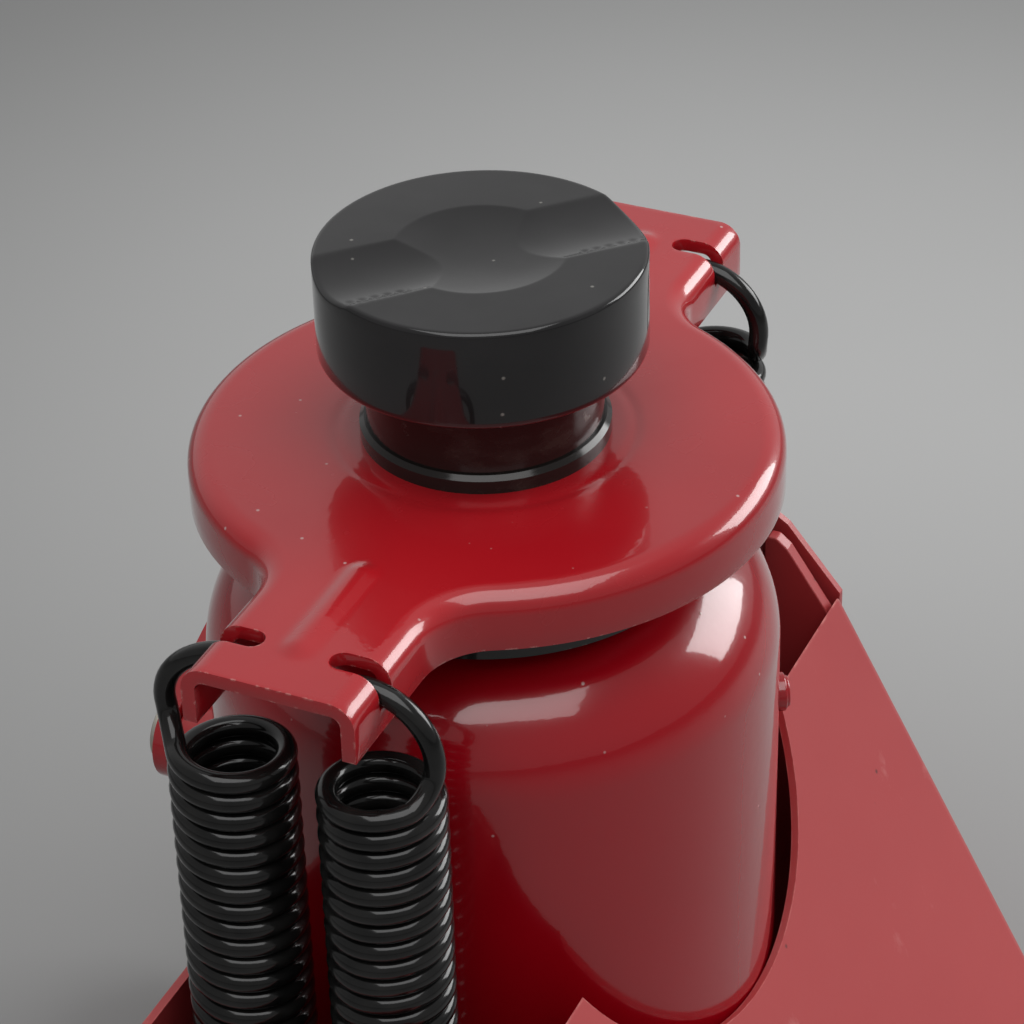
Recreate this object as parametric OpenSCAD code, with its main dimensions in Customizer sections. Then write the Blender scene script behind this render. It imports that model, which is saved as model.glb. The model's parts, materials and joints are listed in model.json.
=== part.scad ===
// Bottle jack with four return springs and a folded steel housing.
// Origin: on the ground under the ram axis.  +Z up, +X towards the right-hand
// spring arm, +Y towards the rear, where the sloped cover is.

/* [Overall] */
// Height of the saddle's top face above the ground, ram lowered
saddle_top = 280; // [272:1:300]

/* [Ram and saddle] */
// Radius of the saddle
saddle_r = 35; // [30:0.5:40]
// Height of the saddle
saddle_h = 23; // [21:0.5:26]
// Radius of the ram
ram_r = 25.4; // [24:0.1:26]
// Depth of the saddle's dished centre
dish_depth = 2.2; // [1:0.1:3]
// Width of the trough across the saddle's top
trough_w = 22; // [16:1:28]
// Depth of the trough
trough_depth = 1.7; // [1:0.1:2.5]
// Direction of the trough, from +X
trough_angle = 136; // [0:1:180]

/* [Reservoir] */
// Outer radius of the tank
tank_r = 63.5; // [62:0.5:64]
// Wall thickness of the tank
tank_wall = 3.5; // [2.5:0.5:5]
// Radius of the tank's rounded shoulder
shoulder_r = 26; // [18:1:27]

/* [Spring plate] */
// Outer radius of the plate's disc
disc_r = 64; // [60:0.5:66]
// Reach of each arm from the ram axis
arm_reach = 101.5; // [98:0.5:103]
// Half-width of an arm
arm_half_w = 18.8; // [18.4:0.2:20]
// Depth of the turned-down edge
skirt_h = 13; // [12:0.5:14]
// Thickness of the pressed sheet
plate_t = 3; // [2.5:0.1:3]
// Outer radius of the turned-down bend
bend_r = 5.2; // [5:0.2:6]
// Radius of the hollow corner between disc and arm
neck_fillet = 16; // [12:1:20]

/* [Springs] */
// Distance of each spring from the ram axis, along the arms
spring_x = 88; // [87.5:0.5:88]
// Distance of each spring from the arm's centre line
spring_y = 16.7; // [16.5:0.1:17.5]
// Outer diameter of a coil
coil_od = 26.5; // [26:0.5:27]
// Wire diameter
wire_d = 4.5; // [4:0.5:4.5]

/* [Housing] */
// Half-width of the housing
shell_half_w = 104; // [104:0.5:106]
// Thickness of the housing's sheet
shell_t = 2; // [1.5:0.5:2]
// Slope of the rear cover
cover_slope = 61.5; // [60:0.5:63]
// Distance of the cover's top edge behind the ram axis
cover_y = 46; // [45:1:48]
// Height of the cover's top edge
cover_z = 139; // [137:1:141]
// Radius of the cover's cut-out round the tank
cutout_r = 62; // [61:0.5:66]

/* [Base] */
// Height of the base casting
base_h = 20; // [18:1:22]

/* [Pump] */
// Angle of the pump lever above horizontal, at rest
lever_rest = 22.5; // [15:0.5:22.5]
// Radius of the hole for the pump handle
handle_r = 12.1; // [11:0.1:12.5]

/* [Hidden] */
$fn = 96;
eps = 0.01;
clear = 0.3;
running = 0.04;

saddle_z = saddle_top - saddle_h;
collar_h = 4;
plate_top = saddle_top - 43;
plate_under = plate_top - plate_t;
skirt_z = plate_top - skirt_h;
clip_h = 3;

ram_top = saddle_z - clear;
ram_z = 40;
spigot_r = 12;
spigot_h = 13;
stud_r = 14;
stud_z = 15;
piston_z = 22;
piston_groove_r = 23;
seal_z = 28;
seal_h = 6;
cyl_bore_r = 27;
cyl_r = 34;
cyl_z = 12;
cyl_top = 206;

tank_z = base_h + 2;
tank_top = skirt_z - 14;
tank_hole_r = 44;
head_z = 196;
head_flange_r = 48;
flange_z = tank_top + 0.1;
flange_h = 7;
head_hub_r = 38;
head_top = plate_under - clip_h - 2;
wiper_z = head_top - 5;
wiper_h = 4;
oring_r = 1.5;
head_seal_z = tank_top - 2.6;

hook_r = 14.5;
hook_y = spring_y - 2.7;
hook_turn = 122;
hook_rise = 6.5;
hook_z = plate_top - hook_r - 4;
low_hook_z = 55;
coil_top = hook_z - hook_rise;
coil_z = low_hook_z + hook_rise;
slot_w = wire_d + 1;
slot_in = 7.2;
slot_z = hook_z + sqrt(pow(hook_r, 2) - pow(arm_half_w - hook_y, 2)) - wire_d / 2 - 0.8;
anchor_r = 4;
anchor_z = low_hook_z - hook_r + wire_d / 2 + anchor_r + clear;
bolt_rows = [-24, 88];
bolt_row_z = 11;
lug_in = 70;
lug_w = 10;
lug_h = 56;
lug_half_l = 30;

wall_in = shell_half_w - shell_t;
shell_z = 4;
front_y = -37;
front_top = 138;
wing_in = 58.5;
peak_y = 30;
peak_z = 158;
shell_bend = 5;
rear_y = 110;
bend_split = 5.6;
inlet_hole_r = 10.2;
far = 200;
rear_top = cover_z - (rear_y - cover_y) * tan(cover_slope);
cutout_depth = 41;
cover_run = 180;
inner_x = 96.5;
inner_t = 3.5;
inner_y = 28;

pump_x = -42;
pump_y = -82;
passage_turn = atan2(pump_y, pump_x);
passage_l = norm([pump_x, pump_y]);
boss_top = 46;
pump_r = 15;
pump_top = 82;
plunger_r = 9;
plunger_z = 73;
pump_pin_r = 4;
lever_arm = 26;
fulcrum_x = pump_x + lever_arm;
fulcrum_z = 116;
pin_rest_z = fulcrum_z + lever_arm * tan(lever_rest);
plunger_top = pin_rest_z + plunger_r;
fulcrum_r = 5;
post_half_w = 9;
cheek_gap = post_half_w + 0.6;
cheek_t = 4;
cheek_r = 11;
socket_start = 45;
socket_l = 51;
socket_wall = 3;
socket_depth = 46;

valve_x = -58;
valve_y = -94;
valve_z = 26;
valve_r = 5;
knob_r = 11;
overload_x = -28;
passage_r = 3;
cross_drill_r = 2.6;
passage_z = 7;

motor_x = 78;
motor_y = 58;
motor_r = 16;
motor_top = 62;
motor_bore_r = 12;
inlet_z = 44;
inlet_r = 5.7;
inlet_l = 12;

plug_angle = 121;
plug_z = 159;
plug_r = 4.5;
plug_shank_r = 3.5;

red = "#b5141f";
satin_red = "#b04548";
jack_black = "#17181a";
steel = "#b9bcc0";
dark_steel = "#4a423c";
seal_black = "#222222";

// ---- helpers ----

// Ring standing on z = 0
module ring(r_out, r_in, h) {
    difference() {
        cylinder(r = r_out, h = h);
        translate([0, 0, -1]) cylinder(r = r_in, h = h + 2);
    }
}

// Cylinder from x = 0 along +X
module rod_x(r, l) {
    rotate([0, 90, 0]) cylinder(r = r, h = l);
}

// Cylinder from y = 0 along -Y
module rod_front(r, l) {
    rotate([90, 0, 0]) cylinder(r = r, h = l);
}

// Cylinder centred on the origin, along Y
module pin_y(r, l) {
    rotate([90, 0, 0]) cylinder(r = r, h = l, center = true);
}

// Hexagon bolt with its head's underside at x = 0, shank along -X
module bolt_x(r, l, head_h = 5) {
    rotate([0, 90, 0]) cylinder(r = r * 1.9, h = head_h, $fn = 6);
    translate([-l, 0, 0]) rod_x(r, l + eps);
}

// Box with its four upright edges rounded, between two corners
module rounded_block(low, high, r) {
    w = high[0] - low[0];
    d = high[1] - low[1];
    translate([low[0], low[1], low[2]]) linear_extrude(high[2] - low[2]) {
        translate([r, 0]) square([w - 2 * r, d]);
        translate([0, r]) square([w, d - 2 * r]);
        for (x = [r, w - r], y = [r, d - r]) translate([x, y]) circle(r);
    }
}

function cover_at(y) = cover_z - (y - cover_y) * tan(cover_slope);

// ---- base ----

module base_casting() {
    color(red) difference() {
        union() {
            rounded_block([-wall_in, front_y + shell_t, 0], [wall_in, rear_y - shell_t - 2, base_h], 6);
            cylinder(r = tank_r + 5, h = base_h);
            difference() {
                rounded_block([valve_x - 14, valve_y, 0], [fulcrum_x + 9, -50, boss_top], 6);
                translate([0, 0, base_h]) cylinder(r = tank_r + 0.5, h = boss_top);
            }
            cylinder(r = tank_r - tank_wall - 0.1, h = base_h + 10);
            for (s = [-1, 1]) {
                translate([s * (lug_in + lug_w / 2) - lug_w / 2, -lug_half_l, 0])
                    cube([lug_w, 2 * lug_half_l, lug_h]);
            }
        }
        translate([0, 0, cyl_z]) cylinder(r = cyl_r, h = base_h);
        // oil passages, open to the pump well and the cylinder floor
        translate([0, 0, passage_z]) {
            cylinder(r = passage_r, h = cyl_z);
            rotate([0, 0, passage_turn]) rod_x(cross_drill_r, passage_l);
        }
        translate([pump_x, pump_y, passage_z]) cylinder(r = passage_r, h = boss_top);
        translate([pump_x, pump_y, boss_top - 16]) cylinder(r = 10, h = 17);
        translate([pump_x, pump_y, 20]) cylinder(r = 5.2, h = 12);
        // return passage and the release valve's seat
        translate([valve_x, valve_y, valve_z]) rotate([180, 0, 0]) {
            rod_front(valve_r + running, 24);
            rod_front(passage_r, 34);
        }
        translate([valve_x, valve_y, valve_z]) rotate([180, 0, 0]) rod_front(8, 10);
        translate([overload_x, valve_y, valve_z]) rotate([180, 0, 0]) rod_front(6, 14);
        for (s = [-1, 1], y = [-hook_y, hook_y]) {
            translate([s * (lug_in + 5), y, anchor_z]) rotate([0, 90, 0])
                cylinder(r = anchor_r, h = 30, center = true);
        }
        for (s = [-1, 1], y = bolt_rows) {
            translate([s * wall_in, y, bolt_row_z]) rotate([0, 90, 0])
                cylinder(r = anchor_r, h = 28, center = true);
        }
    }
}

module base_gasket() {
    color(seal_black) translate([0, 0, base_h])
        ring(tank_r, tank_r - tank_wall, tank_z - base_h);
}

// Half-section of a can with a rounded shoulder
module can_section(r, top, corner) {
    square([r - corner, top]);
    square([r, top - corner]);
    translate([r - corner, top - corner]) intersection() {
        circle(corner);
        square(corner);
    }
}

module tank() {
    color(red) difference() {
        translate([0, 0, tank_z]) rotate_extrude() difference() {
            can_section(tank_r, tank_top - tank_z, shoulder_r);
            translate([0, -1])
                can_section(tank_r - tank_wall, tank_top - tank_z - tank_wall + 1, shoulder_r - tank_wall);
            square([tank_hole_r, tank_top]);
        }
        translate([0, 0, plug_z]) rotate([0, 0, plug_angle])
            translate([tank_r - 12, 0, 0]) rod_x(plug_shank_r, 20);
    }
}

module filler_plug() {
    color(satin_red) translate([0, 0, plug_z]) rotate([0, 0, plug_angle]) {
        translate([tank_r - 8, 0, 0]) rod_x(plug_shank_r, 9);
        translate([tank_r + 0.2, 0, 0]) rod_x(plug_r, 2.2);
        translate([tank_r + 2, 0, 0]) rod_x(plug_r - 0.8, 1.2);
    }
}

module pressure_cylinder() {
    color(steel) translate([0, 0, cyl_z]) ring(cyl_r, cyl_bore_r, cyl_top - cyl_z);
}

module head_nut() {
    color(jack_black) difference() {
        union() {
            translate([0, 0, head_z]) cylinder(r = tank_hole_r - 0.2, h = flange_z - head_z);
            translate([0, 0, flange_z]) cylinder(r = head_flange_r, h = flange_h);
            translate([0, 0, flange_z + flange_h])
                cylinder(r = head_hub_r, h = head_top - flange_z - flange_h);
        }
        translate([0, 0, head_z - 1]) cylinder(r = cyl_r, h = cyl_top - head_z + 1);
        translate([0, 0, head_z - 1]) cylinder(r = ram_r + running, h = head_top - head_z + 2);
        translate([0, 0, wiper_z]) cylinder(r = ram_r + 4, h = wiper_h);
        for (a = [0:90:270]) rotate([0, 0, a]) translate([head_flange_r - 4, -3, flange_z + 2])
            cube([8, 6, 8]);
        translate([0, 0, head_seal_z]) rotate_extrude() translate([tank_hole_r, 0]) circle(oring_r);
    }
}

module head_seal() {
    color(seal_black) translate([0, 0, head_seal_z]) rotate_extrude()
        translate([tank_hole_r, 0]) intersection() {
            circle(oring_r);
            translate([-2 * oring_r, -oring_r]) square([2 * oring_r, 2 * oring_r]);
        }
}

module ram_wiper() {
    color(seal_black) translate([0, 0, wiper_z])
        ring(ram_r + 4, ram_r + 0.02, wiper_h);
}

module suction_filter() {
    color(steel) translate([-25, -42, base_h + 10]) {
        difference() {
            cylinder(r = 6, h = 9);
            translate([0, 0, -1]) cylinder(r = 4.6, h = 8);
        }
    }
}

module check_balls() {
    color(steel) {
        translate([pump_x, pump_y, 24.6]) sphere(4);
        translate([valve_x, valve_y + 26.5, valve_z]) sphere(2.6);
    }
}

module overload_plug() {
    color(steel) translate([overload_x, valve_y - 3, valve_z]) rotate([180, 0, 0]) difference() {
        union() {
            rod_front(7.5, 3);
            rod_front(6, 14);
        }
        translate([0, 0.5, 0]) rod_front(3, 5);
    }
}

// ---- ram ----

module ram() {
    color(dark_steel) {
        translate([0, 0, ram_z]) cylinder(r = ram_r, h = ram_top - ram_z);
        translate([0, 0, stud_z]) cylinder(r = stud_r, h = ram_z - stud_z + eps);
        translate([0, 0, ram_top - eps]) cylinder(r = spigot_r, h = spigot_h);
    }
}

module ram_piston() {
    color(steel) difference() {
        translate([0, 0, piston_z]) ring(cyl_bore_r - 0.05, stud_r, ram_z - piston_z);
        translate([0, 0, seal_z]) ring(cyl_bore_r + 1, piston_groove_r, seal_h);
    }
}

module piston_seal() {
    color(seal_black) translate([0, 0, seal_z])
        ring(cyl_bore_r - 0.02, piston_groove_r, seal_h);
}

module piston_nut() {
    color(steel) translate([0, 0, stud_z]) difference() {
        cylinder(r = 22, h = piston_z - stud_z, $fn = 6);
        translate([0, 0, -1]) cylinder(r = stud_r, h = 20);
    }
}

module plate_clip() {
    color(steel) translate([0, 0, plate_under - clip_h]) ring(ram_r + 3.5, ram_r, clip_h);
}

module collar_ring() {
    color(dark_steel) translate([0, 0, plate_top]) difference() {
        ring(ram_r + 1.5, ram_r, collar_h);
        translate([0, 0, collar_h - 1]) rotate_extrude()
            translate([ram_r + 1.5, 0]) rotate(45) square(1.4);
    }
}

// Quarter-rounded edge section: full height below the bend, rounded at the top
module edge_section(reach, top, bottom, r) {
    translate([0, bottom]) square([reach, top - r - bottom]);
    translate([0, bottom]) square([reach - r, top - bottom]);
    translate([reach - r, top - r]) intersection() {
        circle(r);
        square(r);
    }
}

// Solid inside the plate's outer surface or, made smaller, its inner surface
module plate_form(r, half_w, fillet, bend, top, bottom, reach, neck_top) {
    rotate_extrude() edge_section(r, top, bottom, bend);
    rotate([90, 0, 90]) translate([0, 0, -reach]) linear_extrude(2 * reach)
        for (m = [0, 1]) mirror([m, 0]) edge_section(half_w, top, bottom, bend);
    for (a = [0, 180], m = [0, 1]) rotate([0, 0, a]) mirror([0, m, 0])
        neck_form(r, half_w, fillet, neck_top, bottom);
}

// Hollow corner between the disc and an arm
module neck_form(r, half_w, fillet, top, bottom) {
    bite = 0.4;
    fy = half_w + fillet - bite;
    fx = sqrt(pow(r + fillet - bite, 2) - pow(fy, 2));
    within = 0.7;
    difference() {
        translate([0, 0, bottom]) linear_extrude(top - bottom)
            polygon([[fx, fy], [fx * within, fy * within], [fx * within, half_w - bend_r / 2],
                [fx, half_w - bend_r / 2]]);
        translate([fx, fy, bottom - 1]) cylinder(r = fillet, h = top - bottom + 2);
    }
}

// Slot for a spring's hook: along the arm's top and over its bend
module hook_slot() {
    translate([spring_x, slot_in + slot_w / 2, plate_under - 1])
        cylinder(r = slot_w / 2, h = plate_t + 2);
    translate([spring_x - slot_w / 2, slot_in + slot_w / 2, slot_z])
        cube([slot_w, arm_half_w, plate_top + 2 - slot_z]);
}

module spring_plate() {
    color(red) difference() {
        union() {
            difference() {
                plate_form(disc_r, arm_half_w, neck_fillet, bend_r, plate_top, skirt_z,
                    arm_reach, plate_top - bend_r / 3);
                plate_form(disc_r - plate_t, arm_half_w - plate_t, neck_fillet + plate_t,
                    bend_r - plate_t, plate_under, skirt_z - 1, arm_reach + 1, plate_under - 1);
            }
            // pressed rib along each arm
            for (s = [-1, 1]) intersection() {
                union() {
                    translate([s * 73.5, 0, plate_top - 3.4]) rotate([0, 90, 0])
                        cylinder(r = 4.6, h = 27, center = true);
                    for (x = [60, 87]) translate([s * x, 0, plate_top - 3.4]) sphere(4.6);
                }
                translate([s * 75, 0, plate_under + 4]) cube([60, 20, 8], center = true);
            }
        }
        translate([0, 0, plate_under - 1]) cylinder(r = ram_r, h = plate_t + 2);
        for (a = [0, 180]) rotate([0, 0, a]) for (m = [0, 1]) mirror([0, m, 0]) hook_slot();
    }
}

module saddle() {
    trough_r = (pow(trough_w / 2, 2) + pow(trough_depth, 2)) / (2 * trough_depth);
    dish_r = 18.5;
    dish_ball = (dish_r * dish_r + dish_depth * dish_depth) / (2 * dish_depth);
    color(jack_black) difference() {
        translate([0, 0, saddle_z]) rotate_extrude()
            polygon([[0, 0], [saddle_r - 1, 0], [saddle_r, 1], [saddle_r, saddle_h - 1],
                [saddle_r - 1, saddle_h], [0, saddle_h]]);
        translate([0, 0, saddle_z - 1]) cylinder(r = spigot_r + running, h = spigot_h + 1.5);
        translate([0, 0, saddle_top + dish_ball - dish_depth]) sphere(dish_ball);
        translate([0, 0, saddle_top + trough_r - trough_depth]) rotate([0, 0, trough_angle])
            rotate([0, 90, 0]) cylinder(r = trough_r, h = 3 * saddle_r, center = true);
    }
}

// ---- return springs ----

// One extension spring: its close coils as a sleeve, with an open hook at each end
module return_spring(side, end) {
    color(jack_black) translate([side * spring_x, 0, 0]) mirror([0, (1 - end) / 2, 0]) {
        translate([0, spring_y, coil_z])
            ring(coil_od / 2, coil_od / 2 - wire_d, coil_top - coil_z);
        translate([0, hook_y, hook_z]) hook();
        translate([0, hook_y, low_hook_z]) mirror([0, 0, 1]) hook();
    }
}

// Upper hook with its centre at the origin, opening downwards
module hook() {
    rotate([90, 0, 90]) rotate_extrude(angle = hook_turn)
        translate([hook_r, 0]) circle(wire_d / 2);
    translate([0, hook_r, -hook_rise - 2]) cylinder(r = wire_d / 2, h = hook_rise + 2 + eps);
}

module spring_right_rear() { return_spring(1, 1); }
module spring_right_front() { return_spring(1, -1); }
module spring_left_rear() { return_spring(-1, 1); }
module spring_left_front() { return_spring(-1, -1); }

module spring_anchor_bolts() {
    color(steel) for (s = [0, 1]) mirror([s, 0, 0]) {
        for (y = [-hook_y, hook_y])
            translate([shell_half_w, y, anchor_z]) bolt_x(anchor_r, shell_half_w - lug_in - 1);
    }
}

// ---- housing ----

// Side outline of the housing, in Y and Z
module side_outline() {
    polygon([[front_y, shell_z], [front_y, front_top], [-12, front_top], [16, peak_z - 2],
        [22, peak_z], [peak_y - 1, peak_z], [peak_y + 2, peak_z - 2], [cover_y, cover_z],
        [rear_y, rear_top], [rear_y, shell_z]]);
}

// Everything inside the side outline, across the whole width
module side_prism() {
    translate([-shell_half_w, 0, 0]) rotate([90, 0, 90])
        linear_extrude(2 * shell_half_w) side_outline();
}

// Frame of the rear cover: y runs down the slope, z is square to the sheet
module on_cover() {
    translate([0, cover_y, cover_z]) rotate([-cover_slope, 0, 0]) children();
}

// Folded section of the cover and its sides; y is depth below the sheet
module folded_section(half_w, r, top) {
    translate([-half_w + r, top]) square([2 * (half_w - r), 260]);
    translate([-half_w, top + r]) square([2 * half_w, 260 - r]);
    for (s = [-1, 1]) translate([s * (half_w - r), top + r]) circle(r);
}

// The cover with both its bends, down to where the side walls begin, and the rear wall
module housing() {
    cutout_mid = cutout_depth - cutout_r;
    color(satin_red) difference() {
        union() {
            intersection() {
                on_cover() rotate([-90, 0, 0]) linear_extrude(cover_run) difference() {
                    folded_section(shell_half_w, shell_bend, 0);
                    folded_section(wall_in, shell_bend - shell_t, shell_t);
                }
                side_prism();
                cover_zone();
            }
            intersection() {
                side_prism();
                translate([-wall_in, rear_y - shell_t, 0]) cube([2 * wall_in, shell_t, far]);
            }
        }
        on_cover() translate([0, cutout_mid, -8]) cylinder(r = cutout_r, h = 12);
    }
}

// Everything behind the cover's front edge and above the split below its bends
module cover_zone() {
    intersection() {
        on_cover() translate([-far, -20, -bend_split]) cube([2 * far, 2 * far, 2 * far]);
        translate([-far, cover_y, 0]) cube([2 * far, far, far]);
    }
}

// The right-hand side wall with its front wing
module side_wall() {
    difference() {
        intersection() {
            side_prism();
            linear_extrude(far) polygon([[wing_in, front_y], [shell_half_w, front_y],
                [shell_half_w, rear_y], [wall_in, rear_y], [wall_in, front_y + shell_t],
                [wing_in, front_y + shell_t]]);
        }
        cover_zone();
        for (y = [-hook_y, hook_y])
            translate([wall_in - 1, y, anchor_z]) rod_x(anchor_r + 0.2, shell_t + 2);
        for (y = bolt_rows)
            translate([wall_in - 1, y, bolt_row_z]) rod_x(anchor_r + 0.2, shell_t + 2);
        // the front wing stands on the base
        translate([0, front_y - 1, 0]) cube([wall_in - clear, shell_t + 2, base_h]);
    }
}

module housing_side_right() {
    color(satin_red) difference() {
        side_wall();
        translate([wall_in - 1, motor_y, inlet_z]) rod_x(inlet_hole_r, shell_t + 2);
    }
}

module housing_side_left() {
    color(satin_red) mirror([1, 0, 0]) side_wall();
}

// Stiffening plate inside the right-hand wall, drawn in the wall's own direction
module inner_plate() {
    under = shell_t / cos(cover_slope) + 0.1;
    last_y = 92;
    translate([inner_x, 0, 0]) rotate([90, 0, 90]) linear_extrude(inner_t)
        polygon([[inner_y, base_h], [inner_y, peak_z - 4], [inner_y + 1, peak_z - 3],
            [peak_y + 1, peak_z - 3], [peak_y + 4, peak_z - 5.5],
            [cover_y, cover_at(cover_y) - under], [last_y, cover_at(last_y) - under],
            [last_y, base_h]]);
}

module inner_plate_right() {
    color(satin_red) difference() {
        inner_plate();
        translate([inner_x - 1, motor_y, inlet_z]) rod_x(inlet_hole_r, inner_t + 3);
    }
}

module inner_plate_left() {
    color(satin_red) mirror([1, 0, 0]) inner_plate();
}

module housing_bolts() {
    color(steel) for (s = [0, 1]) mirror([s, 0, 0]) {
        for (y = bolt_rows)
            translate([shell_half_w, y, bolt_row_z]) bolt_x(anchor_r, 14);
    }
}

// ---- hand pump ----

module pump_body() {
    color(red) translate([pump_x, pump_y, 0]) difference() {
        union() {
            translate([0, 0, boss_top]) cylinder(r = pump_r, h = pump_top - boss_top);
            translate([0, 0, boss_top - 16]) cylinder(r = 10, h = 16 + eps);
        }
        translate([0, 0, boss_top + 4]) cylinder(r = plunger_r + running, h = 60);
        translate([0, 0, boss_top - 20]) cylinder(r = passage_r, h = 30);
        translate([0, 0, pump_top - 8]) cylinder(r = 11.5, h = 4);
    }
}

module pump_seal() {
    color(seal_black) translate([pump_x, pump_y, pump_top - 8])
        ring(11.5, plunger_r + 0.02, 4);
}

module pump_plunger() {
    color(steel) translate([pump_x, pump_y, 0]) difference() {
        translate([0, 0, plunger_z]) cylinder(r = plunger_r, h = plunger_top - plunger_z);
        translate([0, 0, pin_rest_z]) pin_y(pump_pin_r, 40);
    }
}

module plunger_pin() {
    color(steel) translate([pump_x, pump_y, pin_rest_z])
        pin_y(pump_pin_r, 2 * (cheek_gap + cheek_t) + 4);
}

module lever_post() {
    color(red) difference() {
        union() {
            translate([fulcrum_x, pump_y, fulcrum_z]) pin_y(cheek_r - 2, 2 * post_half_w);
            translate([fulcrum_x - cheek_r + 2.2, pump_y - post_half_w, boss_top])
                cube([2 * cheek_r - 4.4, 2 * post_half_w, fulcrum_z - boss_top]);
        }
        translate([fulcrum_x, pump_y, fulcrum_z]) pin_y(fulcrum_r, 40);
        translate([pump_x, pump_y, 0]) cylinder(r = pump_r + 0.05, h = pump_top + 0.1);
        translate([pump_x, pump_y, 0]) cylinder(r = plunger_r + 2, h = 200);
    }
}

module lever_pivot_pin() {
    color(steel) translate([fulcrum_x, pump_y, fulcrum_z]) {
        pin_y(fulcrum_r, 2 * (cheek_gap + cheek_t) + 1);
        for (m = [0, 1]) mirror([0, m, 0]) translate([0, -cheek_gap - cheek_t - clear, 0])
            rod_front(fulcrum_r + 2.5, 2.5);
    }
}

// Lever drawn level, pointing along +X from its pivot
module lever_form() {
    mid = cheek_gap + cheek_t / 2;
    difference() {
        union() {
            for (s = [-1, 1]) translate([0, s * mid, 0]) {
                pin_y(cheek_r, cheek_t);
                translate([0, -cheek_t / 2, -cheek_r]) cube([socket_start + 6, cheek_t, 2 * cheek_r]);
            }
            translate([socket_start, -cheek_gap - 1, -cheek_r])
                cube([7, 2 * cheek_gap + 2, 2 * cheek_r]);
            translate([socket_start, 0, 0]) rod_x(handle_r + socket_wall, socket_l);
        }
        pin_y(fulcrum_r + running, 60);
        translate([socket_start + socket_l - socket_depth, 0, 0]) rod_x(handle_r, socket_depth + 1);
        for (d = [lever_arm - 0.5, lever_arm + 2.7]) translate([d, 0, 0]) pin_y(pump_pin_r + 0.4, 60);
        translate([lever_arm - 0.5, -30, -pump_pin_r - 0.4]) cube([3.2, 60, 2 * pump_pin_r + 0.8]);
    }
}

module handle_socket() {
    color(red) translate([fulcrum_x, pump_y, fulcrum_z]) rotate([0, 0, 180])
        rotate([0, -lever_rest, 0]) lever_form();
}

module release_valve() {
    color(steel) translate([valve_x, valve_y, valve_z]) {
        rotate([180, 0, 0]) rod_front(valve_r, 23);
        rod_front(valve_r, 12);
        translate([0, -8, 0]) difference() {
            rod_front(knob_r, 11);
            translate([-2, -12, -knob_r - 1]) cube([4, 6, 2 * knob_r + 2]);
        }
    }
}

module valve_gland() {
    color(steel) translate([valve_x, valve_y - 5, valve_z]) rotate([180, 0, 0]) difference() {
        union() {
            rotate([90, 0, 0]) cylinder(r = 10, h = 5, $fn = 6);
            rod_front(8, 15);
        }
        translate([0, 1, 0]) rod_front(valve_r + running, 20);
    }
}

// ---- air motor under the rear cover ----

module air_motor_body() {
    color(steel) difference() {
        translate([motor_x, motor_y, base_h]) cylinder(r = motor_r, h = motor_top - base_h);
        translate([motor_x, motor_y, base_h + 5]) cylinder(r = motor_bore_r, h = 60);
        translate([motor_x, motor_y, inlet_z]) rod_x(6, 30);
        for (a = [0:90:270]) rotate_about_motor(a) cylinder(r = 1.2, h = 20, center = true);
    }
}

// Places a screw on the motor's cap
module rotate_about_motor(a) {
    translate([motor_x, motor_y, motor_top]) rotate([0, 0, a + 45]) translate([14, 0, 0]) children();
}

module air_motor_piston() {
    color(steel) translate([motor_x, motor_y, base_h + 5]) difference() {
        cylinder(r = motor_bore_r - running, h = 12);
        translate([0, 0, 4]) cylinder(r = 8, h = 9);
    }
}

module air_motor_cap() {
    color(jack_black) difference() {
        translate([motor_x, motor_y, motor_top]) cylinder(r = motor_r, h = 5);
        for (a = [0:90:270]) rotate_about_motor(a) cylinder(r = 1.2, h = 20, center = true);
    }
}

module air_cap_screws() {
    color(steel) for (a = [0:90:270]) rotate_about_motor(a) {
        translate([0, 0, -8]) cylinder(r = 1.2, h = 13 + eps);
        translate([0, 0, 5]) cylinder(r = 1.9, h = 1.6);
    }
}

module air_inlet_fitting() {
    start = motor_x + motor_r - 2;
    nose = shell_half_w + 8;
    color("#b08d3c") difference() {
        translate([0, motor_y, inlet_z]) union() {
            translate([start, 0, 0]) rod_x(5.9, 6);
            translate([start + 2.5, 0, 0]) rod_x(9, nose - start - 2.5);
            translate([shell_half_w + clear, 0, 0]) rotate([0, 90, 0]) cylinder(r = 11, h = 5, $fn = 6);
        }
        translate([start - 1, motor_y, inlet_z]) rod_x(3, 40);
        translate([nose - inlet_l, motor_y, inlet_z]) rod_x(inlet_r, inlet_l + 1);
    }
}

base_casting();
base_gasket();
tank();
filler_plug();
pressure_cylinder();
head_nut();
head_seal();
ram_wiper();
suction_filter();
check_balls();
overload_plug();
ram();
ram_piston();
piston_seal();
piston_nut();
plate_clip();
spring_plate();
collar_ring();
saddle();
spring_right_rear();
spring_right_front();
spring_left_rear();
spring_left_front();
spring_anchor_bolts();
housing();
housing_side_right();
housing_side_left();
inner_plate_right();
inner_plate_left();
housing_bolts();
pump_body();
pump_seal();
pump_plunger();
plunger_pin();
lever_post();
lever_pivot_pin();
handle_socket();
release_valve();
valve_gland();
air_motor_body();
air_motor_piston();
air_motor_cap();
air_cap_screws();
air_inlet_fitting();
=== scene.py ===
import json
import math

import bmesh
import bpy
from mathutils import Matrix, Vector, noise


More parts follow.
